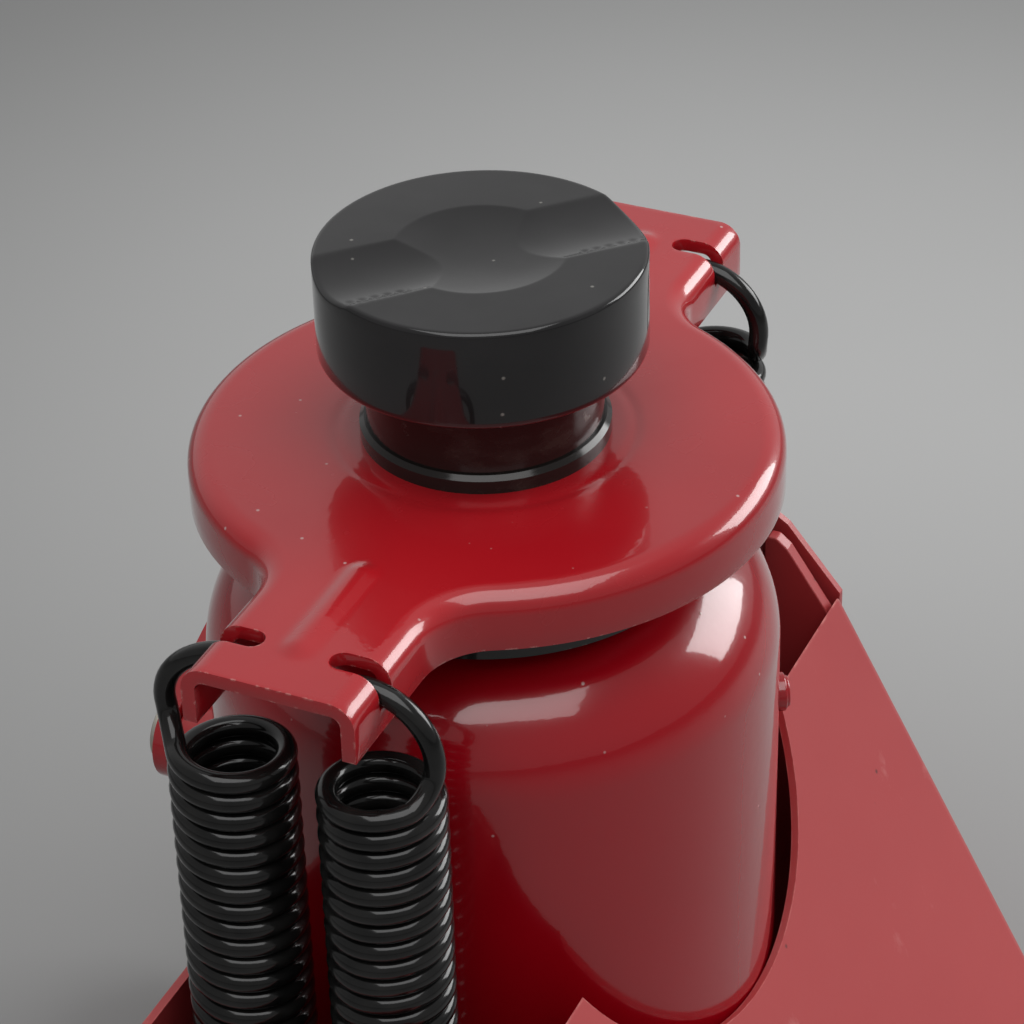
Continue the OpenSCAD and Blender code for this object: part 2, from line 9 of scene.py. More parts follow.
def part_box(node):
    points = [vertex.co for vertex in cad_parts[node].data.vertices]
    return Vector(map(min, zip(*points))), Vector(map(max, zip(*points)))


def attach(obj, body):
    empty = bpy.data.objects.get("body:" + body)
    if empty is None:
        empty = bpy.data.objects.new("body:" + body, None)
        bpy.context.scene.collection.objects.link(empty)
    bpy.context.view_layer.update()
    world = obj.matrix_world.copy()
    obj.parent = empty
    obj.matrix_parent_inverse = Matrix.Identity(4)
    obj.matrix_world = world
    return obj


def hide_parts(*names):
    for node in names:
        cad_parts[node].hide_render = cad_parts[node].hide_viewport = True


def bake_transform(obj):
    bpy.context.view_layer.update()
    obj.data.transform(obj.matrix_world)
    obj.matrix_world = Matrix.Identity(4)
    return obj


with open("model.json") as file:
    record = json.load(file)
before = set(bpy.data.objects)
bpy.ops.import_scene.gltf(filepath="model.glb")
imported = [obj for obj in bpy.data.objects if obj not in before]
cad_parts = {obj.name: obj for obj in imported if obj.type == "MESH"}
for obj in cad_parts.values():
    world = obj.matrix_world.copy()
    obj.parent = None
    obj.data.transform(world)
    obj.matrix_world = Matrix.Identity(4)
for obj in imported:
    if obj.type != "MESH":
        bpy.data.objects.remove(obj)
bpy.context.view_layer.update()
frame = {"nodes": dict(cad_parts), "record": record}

MM = 0.001
TAU = 2 * math.pi
scene = bpy.context.scene
nodes = frame["nodes"]

# ---- sizes read from the frame, in millimetres ----

saddle_low, saddle_high = (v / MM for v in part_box("saddle"))
plate_low, plate_high = (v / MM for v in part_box("spring_plate"))
tank_low, tank_high = (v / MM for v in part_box("tank"))
collar_low, collar_high = (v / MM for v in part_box("collar_ring"))
spring_low, spring_high = (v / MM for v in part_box("spring_right_rear"))

SADDLE_R = saddle_high.x
SADDLE_TOP = saddle_high.z
SADDLE_BOTTOM = saddle_low.z
TANK_R = tank_high.x
TANK_TOP = tank_high.z
TANK_BOTTOM = tank_low.z
PLATE_REACH = plate_high.x
PLATE_DISC_R = plate_high.y
PLATE_TOP = collar_low.z
SKIRT_BOTTOM = plate_low.z
WIRE_R = 2.25
COIL_R = (spring_high.x - spring_low.x) / 2 - WIRE_R
SPRING_X = (spring_high.x + spring_low.x) / 2
SPRING_Y = spring_low.y + COIL_R + WIRE_R


# ---- small mesh tools ----

def make_object(name, verts, faces, sharp_deg=40.0):
    """A smooth-shaded mesh object from points in millimetres."""
    mesh = bpy.data.meshes.new(name)
    mesh.from_pydata([Vector(v) * MM for v in verts], [], faces)
    mesh.validate()
    tidy = bmesh.new()
    tidy.from_mesh(mesh)
    bmesh.ops.remove_doubles(tidy, verts=tidy.verts, dist=1e-7)
    bmesh.ops.recalc_face_normals(tidy, faces=tidy.faces)
    tidy.to_mesh(mesh)
    tidy.free()
    mesh.shade_smooth()
    mesh.set_sharp_from_angle(angle=math.radians(sharp_deg))
    obj = bpy.data.objects.new(name, mesh)
    scene.collection.objects.link(obj)
    return obj


def arc(cx, cz, r, start_deg, end_deg, steps):
    """Points along an arc, both ends included."""
    turns = [math.radians(start_deg + (end_deg - start_deg) * i / steps) for i in range(steps + 1)]
    return [(cx + r * math.cos(a), cz + r * math.sin(a)) for a in turns]


def lathe(name, profile, steps, lift=None, sharp_deg=40.0):
    """A closed profile of (radius, height) points turned round the Z axis."""
    verts, faces = [], []
    count = len(profile)
    for k in range(steps):
        a = TAU * k / steps
        for r, z in profile:
            x, y = r * math.cos(a), r * math.sin(a)
            verts.append((x, y, z + (lift(x, y, z) if lift else 0.0)))
    for k in range(steps):
        here, there = k * count, (k + 1) % steps * count
        for i in range(count):
            j = (i + 1) % count
            if profile[i][0] < 1e-9 and profile[j][0] < 1e-9:
                continue
            faces.append((here + i, there + i, there + j, here + j))
    return make_object(name, verts, faces, sharp_deg)


def sweep(name, path, radius, sides=16, sharp_deg=60.0):
    """A round wire along a path of points, with closed, slightly rounded ends."""
    points = [Vector(p) for p in path]
    tangents = []
    for i, _ in enumerate(points):
        a, b = points[max(i - 1, 0)], points[min(i + 1, len(points) - 1)]
        tangents.append((b - a).normalized())
    side = tangents[0].orthogonal().normalized()
    rings = []
    for i, (p, t) in enumerate(zip(points, tangents)):
        side = (side - t * side.dot(t)).normalized()
        rings.append((p, side.copy(), t.cross(side), radius))
    blunt = 0.6
    rings.insert(0, (points[0] - tangents[0] * blunt, *rings[0][1:3], radius - blunt))
    rings.append((points[-1] + tangents[-1] * blunt, *rings[-1][1:3], radius - blunt))
    verts = []
    for p, u, v, r in rings:
        for k in range(sides):
            a = TAU * k / sides
            verts.append(p + u * (r * math.cos(a)) + v * (r * math.sin(a)))
    faces = []
    for i in range(len(rings) - 1):
        for k in range(sides):
            j = (k + 1) % sides
            faces.append((i * sides + k, i * sides + j, (i + 1) * sides + j, (i + 1) * sides + k))
    last = (len(rings) - 1) * sides
    faces.append(tuple(reversed(range(sides))))
    faces.append(tuple(range(last, last + sides)))
    return make_object(name, verts, faces, sharp_deg)


def apply_modifiers(obj):
    """Replaces an object's mesh by what its modifiers make of it."""
    graph = bpy.context.evaluated_depsgraph_get()
    mesh = bpy.data.meshes.new_from_object(obj.evaluated_get(graph))
    old = obj.data
    obj.modifiers.clear()
    obj.data = mesh
    bpy.data.meshes.remove(old)


def soften_cad(name, width, segments=3, angle=32.0):
    """Rounds a CAD node's edges with modifiers, and leaves its own mesh as it is."""
    obj = nodes[name]
    weld = obj.modifiers.new("weld", "WELD")
    weld.merge_threshold = 2e-6
    flat = obj.modifiers.new("flat", "DECIMATE")
    flat.decimate_type = "DISSOLVE"
    flat.angle_limit = math.radians(0.6)
    bevel = obj.modifiers.new("bevel", "BEVEL")
    bevel.width = width * MM
    bevel.segments = segments
    bevel.limit_method = "ANGLE"
    bevel.angle_limit = math.radians(angle)
    bevel.miter_outer = "MITER_ARC"
    bevel.use_clamp_overlap = True
    normals = obj.modifiers.new("normals", "WEIGHTED_NORMAL")
    normals.keep_sharp = True
    normals.weight = 80


# ---- materials ----

class Finish:
    """A procedural material, with small helpers for its nodes."""

    def __init__(self, name):
        self.material = bpy.data.materials.new(name)
        self.material.use_nodes = True
        self.tree = self.material.node_tree
        self.shader = self.tree.nodes["Principled BSDF"]
        self.place = self.add("ShaderNodeTexCoord").outputs["Object"]

    def add(self, kind, **settings):
        node = self.tree.nodes.new(kind)
        for key, value in settings.items():
            setattr(node, key, value)
        return node

    def link(self, out, socket):
        self.tree.links.new(out, socket)

    def plain(self, **values):
        """Sets uniform values on the shader's own sockets."""
        for key, value in values.items():
            self.shader.inputs[key.replace("_", " ")].default_value = value

    def noise(self, scale, detail=2.0, rough=0.5, stretch=None, offset=0.0):
        """A noise value; scale is in features per metre."""
        texture = self.add("ShaderNodeTexNoise")
        texture.inputs["Scale"].default_value = scale
        texture.inputs["Detail"].default_value = detail
        texture.inputs["Roughness"].default_value = rough
        place = self.place
        if stretch or offset:
            move = self.add("ShaderNodeMapping")
            move.inputs["Scale"].default_value = stretch or (1, 1, 1)
            move.inputs["Location"].default_value = (offset, offset, offset)
            self.link(self.place, move.inputs["Vector"])
            place = move.outputs["Vector"]
        self.link(place, texture.inputs["Vector"])
        return texture.outputs["Fac"]

    def spots(self, scale, size, share):
        """Sparse small dots, as a 0 to 1 mask."""
        cells = self.add("ShaderNodeTexVoronoi")
        cells.inputs["Scale"].default_value = scale
        self.link(self.place, cells.inputs["Vector"])
        near = self.span(cells.outputs["Distance"], size, size * 0.4)
        chosen = self.add("ShaderNodeSeparateColor")
        self.link(cells.outputs["Color"], chosen.inputs["Color"])
        some = self.span(chosen.outputs["Red"], share, share - 0.02)
        return self.math("MULTIPLY", near, some)

    def span(self, value, low, high):
        """Maps low..high to 0..1, clamped; low may be above high."""
        ramp = self.add("ShaderNodeMapRange")
        ramp.inputs["From Min"].default_value = low
        ramp.inputs["From Max"].default_value = high
        self.link(value, ramp.inputs["Value"])
        return ramp.outputs["Result"]

    def between(self, value, low, high):
        """Maps 0..1 to low..high, clamped."""
        ramp = self.add("ShaderNodeMapRange")
        ramp.inputs["To Min"].default_value = low
        ramp.inputs["To Max"].default_value = high
        self.link(value, ramp.inputs["Value"])
        return ramp.outputs["Result"]

    def math(self, operation, a, b):
        node = self.add("ShaderNodeMath", operation=operation)
        for i, item in enumerate((a, b)):
            if isinstance(item, (int, float)):
                node.inputs[i].default_value = item
            else:
                self.link(item, node.inputs[i])
        return node.outputs["Value"]

    def mix(self, factor, a, b):
        """Mixes two colours, each a tuple or a socket."""
        node = self.add("ShaderNodeMix", data_type="RGBA")
        self.link(factor, node.inputs["Factor"])
        for key, item in (("A", a), ("B", b)):
            socket = [s for s in node.inputs if s.name == key and s.type == "RGBA"][0]
            if isinstance(item, tuple):
                socket.default_value = (*item, 1.0)
            else:
                self.link(item, socket)
        return [s for s in node.outputs if s.type == "RGBA"][0]

    def edges(self, radius):
        """A mask that is 1 on outer and inner edges, from the rounded-normal node."""
        bevel = self.add("ShaderNodeBevel", samples=6)
        bevel.inputs["Radius"].default_value = radius * MM
        true = self.add("ShaderNodeNewGeometry").outputs["Normal"]
        dot = self.add("ShaderNodeVectorMath", operation="DOT_PRODUCT")
        self.link(bevel.outputs["Normal"], dot.inputs[0])
        self.link(true, dot.inputs[1])
        return self.span(dot.outputs["Value"], 0.985, 0.86)

    def bump(self, layers):
        """Adds up bump layers of (height socket, depth in millimetres)."""
        normal = None
        for height, depth in layers:
            node = self.add("ShaderNodeBump")
            node.inputs["Distance"].default_value = depth * MM
            self.link(height, node.inputs["Height"])
            if normal:
                self.link(normal, node.inputs["Normal"])
            normal = node.outputs["Normal"]
        self.link(normal, self.shader.inputs["Normal"])
        return normal

    def colour(self, socket):
        self.link(socket, self.shader.inputs["Base Color"])

    def roughness(self, socket):
        self.link(socket, self.shader.inputs["Roughness"])


def gloss_enamel(name, deep, light, worn, peel, haze, wear):
    """Thick gloss paint: orange peel, slow colour drift, dust, chipped edges."""
    f = Finish(name)
    f.plain(Coat_Weight=1.0, Coat_Roughness=0.05, Specular_IOR_Level=0.35)
    drift = f.span(f.noise(9, 3), 0.35, 0.68)
    body = f.mix(drift, deep, light)
    chips = f.math("MULTIPLY", f.edges(0.9), f.span(f.noise(420, 4, 0.7), 0.62 - wear, 0.72 - wear))
    body = f.mix(chips, body, worn)
    dust = f.spots(190, 0.09, 0.16)
    body = f.mix(f.math("MULTIPLY", dust, 0.55), body, (0.62, 0.55, 0.53))
    f.colour(body)
    base_rough = f.between(f.noise(60, 4), haze, haze + 0.12)
    f.roughness(f.math("MAXIMUM", base_rough, f.math("MULTIPLY", f.math("MAXIMUM", dust, chips), 0.6)))
    f.bump([(f.noise(48, 1), 0.10 * peel), (f.noise(420, 2), 0.022 * peel), (dust, 0.03)])
    f.link(f.shader.inputs["Normal"].links[0].from_socket, f.shader.inputs["Coat Normal"])
    return f.material


def satin_enamel():
    """Thinner red paint on the folded sheet: fine texture, scuffs, dark specks."""
    f = Finish("satin_red_enamel")
    f.plain(Coat_Weight=0.35, Coat_Roughness=0.22, Specular_IOR_Level=0.5)
    drift = f.span(f.noise(7, 4), 0.32, 0.7)
    body = f.mix(drift, (0.37, 0.032, 0.036), (0.44, 0.050, 0.051))
    scuff = f.math("MULTIPLY", f.span(f.noise(90, 5, 0.65, (1, 1, 0.35)), 0.64, 0.74), 0.35)
    body = f.mix(scuff, body, (0.56, 0.20, 0.19))
    specks = f.spots(150, 0.11, 0.10)
    body = f.mix(f.math("MULTIPLY", specks, 0.8), body, (0.07, 0.012, 0.012))
    edge = f.math("MULTIPLY", f.edges(0.8), f.span(f.noise(260, 4, 0.7), 0.40, 0.62))
    body = f.mix(f.math("MULTIPLY", edge, 0.7), body, (0.62, 0.20, 0.18))
    f.colour(body)
    f.roughness(f.between(f.noise(45, 5, 0.6), 0.34, 0.52))
    f.bump([(f.noise(34, 1), 0.10), (f.noise(900, 2), 0.012), (specks, -0.03)])
    return f.material


def gloss_black(name, body, worn, wear):
    """Black gloss paint with dust and bare metal on worn edges."""
    f = Finish(name)
    f.plain(Coat_Weight=0.8, Coat_Roughness=0.06, Specular_IOR_Level=0.1)
    tint = f.mix(f.span(f.noise(24, 4), 0.3, 0.7), body, tuple(1.6 * c + 0.004 for c in body))
    bare = f.math("MULTIPLY", f.edges(1.0), f.span(f.noise(150, 5, 0.7), 0.66 - wear, 0.76 - wear))
    dust = f.spots(170, 0.085, 0.22)
    tint = f.mix(f.math("MULTIPLY", dust, 0.5), tint, (0.35, 0.34, 0.31))
    tint = f.mix(bare, tint, worn)
    f.colour(tint)
    f.link(f.math("MULTIPLY", bare, 0.75), f.shader.inputs["Metallic"])
    f.roughness(f.math("MAXIMUM", f.between(f.noise(70, 4), 0.12, 0.26), f.math("MULTIPLY", dust, 0.7)))
    f.bump([(f.noise(60, 1), 0.06), (f.noise(500, 3), 0.010), (bare, -0.05), (dust, 0.02)])
    return f.material


def oiled_steel():
    """Browned ram steel: fine turning rings, oil film and dried smears."""
    f = Finish("oiled_ram_steel")
    f.plain(Metallic=0.10, Coat_Weight=0.35, Coat_Roughness=0.10, Specular_IOR_Level=0.25)
    smear = f.span(f.noise(55, 5, 0.65, (1, 1, 2.2)), 0.50, 0.68)
    body = f.mix(smear, (0.014, 0.011, 0.010), (0.036, 0.028, 0.024))
    dry = f.span(f.noise(130, 6, 0.7), 0.64, 0.72)
    body = f.mix(f.math("MULTIPLY", dry, 0.55), body, (0.22, 0.20, 0.18))
    f.colour(body)
    f.roughness(f.between(smear, 0.16, 0.38))
    rings = f.noise(260, 2, 0.5, (0.02, 0.02, 9.0))
    f.bump([(rings, 0.012), (dry, 0.02)])
    return f.material


def machined_steel(name, body, low, high, zinc=False):
    """Bare or plated steel with a fine grain and a slightly cloudy colour."""
    f = Finish(name)
    f.plain(Metallic=1.0)
    cloud = f.span(f.noise(70, 5, 0.6), 0.3, 0.7)
    warm = (body[0], body[1] * 0.93, body[2] * 0.80) if zinc else tuple(0.8 * c for c in body)
    tint = f.mix(cloud, body, warm)
    rust = f.span(f.noise(200, 5, 0.7), 0.70, 0.78)
    tint = f.mix(f.math("MULTIPLY", rust, 0.5), tint, (0.16, 0.08, 0.045))
    f.colour(tint)
    f.roughness(f.between(f.noise(160, 4), low, high))
    f.bump([(f.noise(900, 3, 0.6, (1, 1, 0.2)), 0.012), (rust, 0.02)])
    return f.material


def spring_lacquer():
    """Glossy black lacquer on the spring wire, thin and slightly uneven."""
    f = Finish("spring_black_lacquer")
    f.plain(Coat_Weight=0.7, Coat_Roughness=0.09, Specular_IOR_Level=0.1)
    body = f.mix(f.span(f.noise(120, 4), 0.35, 0.7), (0.004, 0.004, 0.004), (0.012, 0.0115, 0.011))
    rub = f.span(f.noise(300, 5, 0.7), 0.70, 0.78)
    body = f.mix(f.math("MULTIPLY", rub, 0.5), body, (0.10, 0.085, 0.07))
    f.colour(body)
    f.roughness(f.between(f.noise(160, 4), 0.16, 0.32))
    f.bump([(f.noise(260, 3), 0.03)])
    return f.material


def cast_enamel():
    """Red paint over sand-cast iron: coarse skin under the gloss."""
    f = Finish("cast_red_enamel")
    f.plain(Coat_Weight=0.7, Coat_Roughness=0.12)
    body = f.mix(f.span(f.noise(16, 4), 0.35, 0.7), (0.36, 0.006, 0.012), (0.44, 0.014, 0.018))
    edge = f.math("MULTIPLY", f.edges(1.0), f.span(f.noise(220, 4, 0.7), 0.52, 0.66))
    f.colour(f.mix(edge, body, (0.10, 0.05, 0.045)))
    f.roughness(f.between(f.noise(120, 4), 0.28, 0.46))
    f.bump([(f.noise(260, 4, 0.6), 0.14), (f.noise(60, 2), 0.12)])
    return f.material


def moulded_rubber():
    """Dull black rubber of the seals."""
    f = Finish("seal_rubber")
    f.colour(f.mix(f.span(f.noise(90, 4), 0.3, 0.7), (0.010, 0.010, 0.010), (0.022, 0.021, 0.020)))
    f.roughness(f.between(f.noise(200, 4), 0.48, 0.66))
    f.bump([(f.noise(500, 3), 0.02)])
    return f.material


def turned_brass():
    """Brass of the air fitting, slightly tarnished."""
    f = Finish("turned_brass")
    f.plain(Metallic=1.0)
    cloud = f.span(f.noise(110, 5, 0.6), 0.35, 0.68)
    f.colour(f.mix(cloud, (0.52, 0.36, 0.13), (0.34, 0.22, 0.08)))
    f.roughness(f.between(f.noise(140, 4), 0.22, 0.42))
    f.bump([(f.noise(700, 2, 0.5, (6, 0.3, 0.3)), 0.015)])
    return f.material


def cast_alloy():
    """Grey cast alloy of the air motor."""
    f = Finish("motor_cast_alloy")
    f.plain(Metallic=0.9)
    f.colour(f.mix(f.span(f.noise(80, 4), 0.3, 0.7), (0.34, 0.34, 0.35), (0.24, 0.24, 0.24)))
    f.roughness(f.between(f.noise(150, 4), 0.38, 0.56))
    f.bump([(f.noise(420, 4, 0.6), 0.05)])
    return f.material


# the floor colour carries a painted pool of light, palest round a point behind the jack, with painted
# shade further out; distances in metres
PAINTED_LIGHT_POOL_MIDDLE = (-0.42, -0.16, 0.0)
PAINTED_LIGHT_POOL_FULL_REACH = 0.04
PAINTED_LIGHT_POOL_EDGE = 0.46


def floor_with_painted_light_pool():
    """Plain pale floor paper with the faintest mottle, and a painted pool of light: its colour darkens
    away from the middle as painted shade.
    """
    f = Finish("floor_with_painted_light_pool")
    f.plain(Specular_IOR_Level=0.2)
    place = f.add("ShaderNodeNewGeometry").outputs["Position"]
    reach = f.add("ShaderNodeVectorMath", operation="DISTANCE")
    f.link(place, reach.inputs[0])
    reach.inputs[1].default_value = PAINTED_LIGHT_POOL_MIDDLE
    # painted light: the floor colour falls from the pale mottle to dark grey with distance from the
    # middle, standing in for a pool of lamp light
    fall = f.span(reach.outputs["Value"], PAINTED_LIGHT_POOL_FULL_REACH, PAINTED_LIGHT_POOL_EDGE)
    fall.node.interpolation_type = "SMOOTHSTEP"
    mottle = f.mix(f.span(f.noise(3, 3), 0.3, 0.7), (0.43, 0.432, 0.43), (0.45, 0.452, 0.45))
    # painted shade: the dark grey mixed in away from the middle
    f.colour(f.mix(fall, mottle, (0.27, 0.271, 0.27)))
    f.roughness(f.between(f.noise(40, 4), 0.75, 0.9))
    return f.material


finishes = {
    "tank_red": gloss_enamel("tank_deep_enamel", (0.33, 0.0004, 0.006), (0.38, 0.0008, 0.009),
                             (0.30, 0.10, 0.09), peel=1.0, haze=0.16, wear=0.0),
    "plate_red": gloss_enamel("plate_bright_enamel", (0.33, 0.004, 0.009), (0.41, 0.010, 0.015),
                              (0.55, 0.22, 0.20), peel=1.0, haze=0.20, wear=0.10),
    "housing_red": satin_enamel(),
    "cast_red": cast_enamel(),
    "lever_red": gloss_enamel("lever_enamel", (0.36, 0.004, 0.010), (0.44, 0.008, 0.014),
                              (0.12, 0.09, 0.08), peel=1.2, haze=0.22, wear=0.10),
    "gloss_black": gloss_black("saddle_gloss_black", (0.010, 0.0095, 0.010), (0.62, 0.60, 0.57), 0.03),
    "spring_black": spring_lacquer(),
    "black_oxide": gloss_black("black_oxide", (0.014, 0.013, 0.012), (0.30, 0.28, 0.26), 0.06),
    "ram_steel": oiled_steel(),
    "bare_steel": machined_steel("bare_steel", (0.52, 0.52, 0.53), 0.20, 0.36),
    "zinc": machined_steel("zinc_plate", (0.60, 0.59, 0.56), 0.24, 0.42, zinc=True),
    "motor_alloy": cast_alloy(),
    "brass": turned_brass(),
    "seal": moulded_rubber(),
}


def dress(obj, slot):
    """Gives a piece the finish of a record slot."""
    obj.data.materials.clear()
    obj.data.materials.append(finishes[slot])


# ---- saddle ----

TROUGH_W = 22.0
TROUGH_DEPTH = 1.7
TROUGH_ANGLE = math.radians(136)
DISH_R = 18.5
DISH_DEPTH = 2.2
SPIGOT_R = 12.04
SPIGOT_H = 13.5


def hollow(distance, half_width, depth):
    """Depth of a round-bottomed hollow at a distance from its middle."""
    if abs(distance) >= half_width:
        return 0.0
    ball = (half_width ** 2 + depth ** 2) / (2 * depth)
    return depth - ball + math.sqrt(ball ** 2 - distance ** 2)


def saddle_lift(x, y, z):
    """How far the saddle's top surface lies below its flat height."""
    if z < SADDLE_TOP - 1.3:
        return 0.0
    along = x * math.cos(TROUGH_ANGLE) + y * math.sin(TROUGH_ANGLE)
    across = -x * math.sin(TROUGH_ANGLE) + y * math.cos(TROUGH_ANGLE)
    trough = hollow(across, TROUGH_W / 2, TROUGH_DEPTH)
    dish = hollow(math.hypot(x, y), DISH_R, DISH_DEPTH)
    depth = max(trough, dish)
    # chatter marks of the cutter along one edge of the trough
    edge = math.exp(-((across + 9.2) / 0.8) ** 2) if abs(along) > 19 else 0.0
    depth += 0.28 * edge * (0.5 + 0.5 * math.sin(along * TAU / 2.7))
    depth += 0.05 * noise.noise(Vector((x, y, 0)) / 9.0)
    return -max(depth, 0.0)


def make_saddle():
    rounding = 1.1
    inner = [(SPIGOT_R, SADDLE_BOTTOM + SPIGOT_H), (0.0, SADDLE_BOTTOM + SPIGOT_H)]
    top = [(SADDLE_R - rounding) * i / 90 for i in range(91)]
    profile = [(0.0, SADDLE_TOP)] + [(r, SADDLE_TOP) for r in top[1:]]
    profile += arc(SADDLE_R - rounding, SADDLE_TOP - rounding, rounding, 90, 0, 6)[1:]
    profile += [(SADDLE_R, SADDLE_TOP - 4), (SADDLE_R, SADDLE_TOP - 12)]
    profile += arc(SADDLE_R - 2.2, SADDLE_BOTTOM + 2.2, 2.2, 0, -90, 8)
    profile += [(SPIGOT_R + 0.6, SADDLE_BOTTOM), (SPIGOT_R, SADDLE_BOTTOM + 0.6)] + inner
    saddle = lathe("swivel_saddle", profile, 256, saddle_lift, 50)
    dress(saddle, "gloss_black")
    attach(saddle, "saddle")
    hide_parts("saddle")


make_saddle()


# ---- tank ----

SHOULDER_R = 26.0
TANK_WALL = 3.5
TANK_HOLE_R = 44.0


def make_tank():
    mid_r = TANK_R - SHOULDER_R
    mouth = TANK_HOLE_R - mid_r
    inner_r = SHOULDER_R - TANK_WALL
    mid_z = TANK_TOP - math.sqrt(SHOULDER_R ** 2 - mouth ** 2)
    turn_out = math.degrees(math.acos(mouth / SHOULDER_R))
    turn_in = math.degrees(math.acos(mouth / inner_r))
    heights = [TANK_BOTTOM + (mid_z - TANK_BOTTOM) * i / 24 for i in range(24)]
    profile = [(TANK_R, z) for z in heights]
    profile += arc(mid_r, mid_z, SHOULDER_R, 0, turn_out, 24)
    profile += arc(mid_r, mid_z, inner_r, turn_in, 0, 12)
    profile += [(TANK_R - TANK_WALL, TANK_BOTTOM)]
    tank = lathe("oil_tank", profile, 288, None, 45)
    dress(tank, "tank_red")
    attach(tank, "base")
    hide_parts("tank")


make_tank()


# ---- spring plate ----

ARM_HALF_W = 18.8
NECK_FILLET = 16.0
BEND_R = 5.2
SHEET_T = 3.0
NECK_HOLE_R = 25.4
RIB_FROM = 60.0
RIB_TO = 87.0
RIB_HALF_W = 4.2
RIB_H = 1.15
BEAD_R = 32.0
SLOT_W = 5.5
SLOT_INNER_Y = 9.95
SLOT_DROP = 7.85
SLOT_CLEAR = 4.0
SLOT_OPEN_Y = 30.0


def plate_outline(inset):
    """Outline of the plate drawn in by inset: (points, whether each edge ends an arm)."""
    fillet_y = ARM_HALF_W + NECK_FILLET
    fillet_x = math.sqrt((PLATE_DISC_R + NECK_FILLET) ** 2 - fillet_y ** 2)
    turn = math.degrees(math.atan2(fillet_y, fillet_x))
    half = ARM_HALF_W - inset
    quarter = [(PLATE_REACH + (fillet_x - PLATE_REACH) * i / 14, half) for i in range(14)]
    quarter += arc(fillet_x, fillet_y, NECK_FILLET + inset, 270, 180 + turn, 16)
    quarter += arc(0, 0, PLATE_DISC_R - inset, turn, 90, 28)[1:]
    end = [(PLATE_REACH, -half + 2 * half * i / 22) for i in range(1, 22)]
    top = quarter + [(-x, y) for x, y in reversed(quarter[:-1])]
    left_end = [(-x, -y) for x, y in end]
    bottom = [(-x, -y) for x, y in top]
    points = top + left_end + bottom + end
    side_runs = [(0, len(top)), (len(top) + len(left_end), 2 * len(top) + len(left_end))]
    return points, side_runs


def plate_height(x, y):
    """Height of the pressed features over the flat of the plate."""
    reach = abs(x)
    past = max(RIB_FROM - reach, reach - RIB_TO, 0.0)
    away = math.hypot(past, y) / RIB_HALF_W
    rib = RIB_H * math.cos(min(away, 1.0) * math.pi / 2) ** 1.5 if away < 1 else 0.0
    r = math.hypot(x, y)
    bead = -0.22 * math.exp(-((r - BEAD_R) / 1.3) ** 2)
    flat = 0.05 * noise.noise(Vector((x / 17, y / 17, 3.1)))
    return rib + bead + flat


def bend_section(radius, steps):
    """(inset, height below the top) down a quarter bend of the sheet's outer or inner face."""
    turns = [math.pi / 2 * i / steps for i in range(1, steps + 1)]
    return [(BEND_R - radius * math.sin(a), BEND_R - radius * math.cos(a)) for a in turns]


def make_spring_plate():
    rim, side_runs = plate_outline(BEND_R)
    count = len(rim)
    rings = 56
    verts, faces = [], []

    def add(x, y, z):
        verts.append((x, y, z))
        return len(verts) - 1

    sheets = []
    for drop in (0.0, SHEET_T):
        rows = []
        for k in range(rings + 1):
            share = (k / rings) ** 0.9
            row = []
            for x, y in rim:
                a = math.atan2(y, x)
                hx, hy = NECK_HOLE_R * math.cos(a), NECK_HOLE_R * math.sin(a)
                px, py = hx + (x - hx) * share, hy + (y - hy) * share
                row.append(add(px, py, PLATE_TOP - drop + plate_height(px, py)))
            rows.append(row)
        sheets.append(rows)
    upper, lower = sheets
    for k in range(rings):
        for i in range(count):
            j = (i + 1) % count
            faces.append((upper[k][i], upper[k][j], upper[k + 1][j], upper[k + 1][i]))
            faces.append((lower[k][i], lower[k + 1][i], lower[k + 1][j], lower[k][j]))
    for i in range(count):
        j = (i + 1) % count
        faces.append((upper[0][j], upper[0][i], lower[0][i], lower[0][j]))
    for start, stop in side_runs:
        run = list(range(start, stop))
        after = stop % count
        before_next = side_runs[1][0] if start == 0 else count
        ends = list(range(stop - 1, before_next)) + [before_next % count]
        for i, j in zip(ends, ends[1:]):
            faces.append((upper[rings][i], upper[rings][j], lower[rings][j], lower[rings][i]))
        skirt = [BEND_R + (PLATE_TOP - SKIRT_BOTTOM - BEND_R) * t for t in (0.5, 1.0)]
        outer = bend_section(BEND_R, 12) + [(0.0, d) for d in skirt]
        inner = bend_section(BEND_R - SHEET_T, 12) + [(SHEET_T, d) for d in skirt]
        strips = []
        for section, sheet in ((outer, upper), (inner, lower)):
            rows = [[sheet[rings][i] for i in run]]
            for inset, drop in section:
                points, _ = plate_outline(inset)
                rows.append([add(points[i][0], points[i][1], PLATE_TOP - drop) for i in run])
            strips.append(rows)
            for k in range(len(rows) - 1):
                for i in range(len(run) - 1):
                    faces.append((rows[k][i], rows[k][i + 1], rows[k + 1][i + 1], rows[k + 1][i]))
        a, b = strips
        for i in range(len(run) - 1):
            faces.append((a[-1][i], a[-1][i + 1], b[-1][i + 1], b[-1][i]))
        for i in (0, len(run) - 1):
            for k in range(len(a) - 1):
                faces.append((a[k][i], a[k + 1][i], b[k + 1][i], b[k][i]))
    plate = make_object("pressed_spring_plate", verts, faces, 50)
    cut_hook_slots(plate)
    round_edges(plate, 0.45, 38)
    dress(plate, "plate_red")
    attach(plate, "ram")
    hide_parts("spring_plate")


